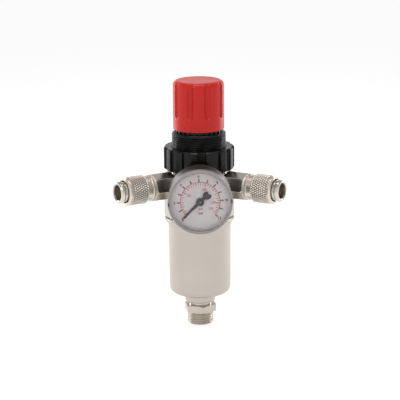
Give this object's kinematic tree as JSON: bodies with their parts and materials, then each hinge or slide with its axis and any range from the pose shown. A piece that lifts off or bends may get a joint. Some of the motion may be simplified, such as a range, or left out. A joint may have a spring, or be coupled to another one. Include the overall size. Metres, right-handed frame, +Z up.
{
  "type": "air pressure regulator",
  "caption": "Compressed-air regulator with red setting knob, black bonnet, hexagonal body, round pressure gauge, side quick couplers, metal filter bowl and threaded bottom inlet.",
  "frame": {"origin": "centre of the inlet thread lower end", "axes": "+Z up along the regulator axis, gauge faces -Y, +X to the right seen from the front"},
  "size_m": [0.1398, 0.0938, 0.2045],
  "materials": {
    "alloy": "machined aluminium",
    "black_plastic": "black glass-filled nylon, semi-gloss",
    "brass": "machined brass",
    "dial_print": "white dial with black and red print",
    "fibre": "red vulcanised fibre",
    "gauge_chrome": "chromed steel cup",
    "lens_clear": "clear polycarbonate",
    "moulding": "black acetal moulding",
    "nickel": "nickel plate, lightly satin",
    "plated_steel": "zinc-plated steel",
    "pointer_black": "matt black paint",
    "polished_body": "bright nickel plate",
    "red_plastic": "red moulded plastic, semi-gloss",
    "satin_bowl": "satin nickel-plated turned wall",
    "seal_rubber": "black nitrile rubber",
    "sinter": "sintered bronze",
    "spring_steel": "drawn spring wire",
    "white_plastic": "natural acetal"
  },
  "bodies": {
    "regulator": {"body": "polished_body", "bonnet": "black_plastic", "bourdon_tube": "brass", "bowl": "satin_bowl", "bowl_seal": "seal_rubber", "control_spring": "spring_steel", "diaphragm": "seal_rubber", "filter_carrier": "moulding", "filter_element": "sinter", "filter_retainer": "moulding", "friction_ring": "seal_rubber", "gauge_case": "gauge_chrome", "gauge_dial": "dial_print", "gauge_lens": "lens_clear", "gauge_stem": "nickel", "inlet_nipple": "nickel", "left_balls": "plated_steel", "left_coupler_adapter": "nickel", "left_coupler_body": "nickel", "left_coupler_nose": "nickel", "left_sleeve_clip": "plated_steel", "left_sleeve_spring": "spring_steel", "left_valve_spring": "spring_steel", "movement_back_plate": "brass", "movement_front_plate": "brass", "movement_posts": "brass", "port_seals": "fibre", "right_balls": "plated_steel", "right_coupler_adapter": "nickel", "right_coupler_body": "nickel", "right_coupler_nose": "nickel", "right_sleeve_clip": "plated_steel", "right_sleeve_spring": "spring_steel", "right_valve_spring": "spring_steel", "ring_nut": "black_plastic", "slip_ring": "white_plastic", "thrust_washer": "plated_steel", "valve_guide_cap": "moulding", "valve_seat": "brass", "valve_spring": "spring_steel"},
    "screw": {"adjusting_screw": "plated_steel", "screw_circlip": "plated_steel"},
    "knob": {"knob": "red_plastic"},
    "spring_nut": {"spring_nut": "brass"},
    "diaphragm_assembly": {"relief_seat": "brass", "diaphragm_plate": "alloy"},
    "valve": {"valve_poppet": "brass", "valve_disc": "seal_rubber"},
    "gauge_hand": {"gauge_pointer": "pointer_black", "gauge_pinion": "brass"},
    "gauge_sector": {"gauge_sector": "brass"},
    "gauge_link": {"gauge_link": "brass"},
    "left_sleeve": {"left_sleeve": "nickel"},
    "right_sleeve": {"right_sleeve": "nickel"},
    "left_coupler_valve": {"left_coupler_valve": "brass", "left_valve_disc": "seal_rubber"},
    "right_coupler_valve": {"right_coupler_valve": "brass", "right_valve_disc": "seal_rubber"}
  },
  "joints": [
    {"name": "knob_turn", "type": "hinge", "parent": "regulator", "child": "screw", "pos_m": [0, 0, 0.19], "axis": [0, 0, -1], "range_deg": [0, 1800]},
    {"name": "knob_lock", "type": "slide", "parent": "screw", "child": "knob", "axis": [0, 0, -1], "range_m": [0, 0.002]},
    {"name": "spring_nut_travel", "type": "slide", "parent": "regulator", "child": "spring_nut", "axis": [0, 0, -1], "range_m": [0, 0.0075], "deforming": ["control_spring"]},
    {"name": "diaphragm_travel", "type": "slide", "parent": "regulator", "child": "diaphragm_assembly", "axis": [0, 0, -1], "range_m": [0, 0.0012], "stiffness_N_per_m": 900, "springref_m": -0.004, "deforming": ["diaphragm"]},
    {"name": "relief_gap", "type": "slide", "parent": "diaphragm_assembly", "child": "valve", "axis": [0, 0, -1], "range_m": [0, 0.0008], "stiffness_N_per_m": 600, "springref_m": -0.006, "deforming": ["valve_spring"]},
    {"name": "gauge_hand_turn", "type": "hinge", "parent": "regulator", "child": "gauge_hand", "pos_m": [0, -0.061, 0.1184], "axis": [0, 1, 0], "range_deg": [0, 266], "stiffness_Nm_per_rad": 0.0001, "springref_deg": -17.19, "deforming": ["bourdon_tube"]},
    {"name": "gauge_sector_turn", "type": "hinge", "parent": "regulator", "child": "gauge_sector", "pos_m": [0.0006, -0.049, 0.10702], "axis": [0, 1, 0], "range_deg": [-40.8, 0]},
    {"name": "gauge_link_swing", "type": "hinge", "parent": "gauge_sector", "child": "gauge_link", "pos_m": [-0.00069, -0.0475, 0.10281], "axis": [0, 1, 0], "range_deg": [0, 40.8]},
    {"name": "left_sleeve_pull", "type": "slide", "parent": "regulator", "child": "left_sleeve", "axis": [0.866, 0.5, 0], "range_m": [0, 0.004], "stiffness_N_per_m": 1500, "springref_m": -0.004, "deforming": ["left_sleeve_spring"]},
    {"name": "left_valve_push", "type": "slide", "parent": "regulator", "child": "left_coupler_valve", "axis": [0.866, 0.5, 0], "range_m": [0, 0.0036], "stiffness_N_per_m": 700, "springref_m": -0.004, "deforming": ["left_valve_spring"]},
    {"name": "right_sleeve_pull", "type": "slide", "parent": "regulator", "child": "right_sleeve", "axis": [-0.866, 0.5, 0], "range_m": [0, 0.004], "stiffness_N_per_m": 1500, "springref_m": -0.004, "deforming": ["right_sleeve_spring"]},
    {"name": "right_valve_push", "type": "slide", "parent": "regulator", "child": "right_coupler_valve", "axis": [-0.866, 0.5, 0], "range_m": [0, 0.0036], "stiffness_N_per_m": 700, "springref_m": -0.004, "deforming": ["right_valve_spring"]}
  ],
  "couplings": [
    {"joint": "spring_nut_travel", "follows": "knob_turn", "m_per_rad": 0.00023873},
    {"joint": "gauge_sector_turn", "follows": "gauge_hand_turn", "ratio": -0.15152},
    {"joint": "gauge_link_swing", "follows": "gauge_hand_turn", "ratio": 0.15152}
  ]
}
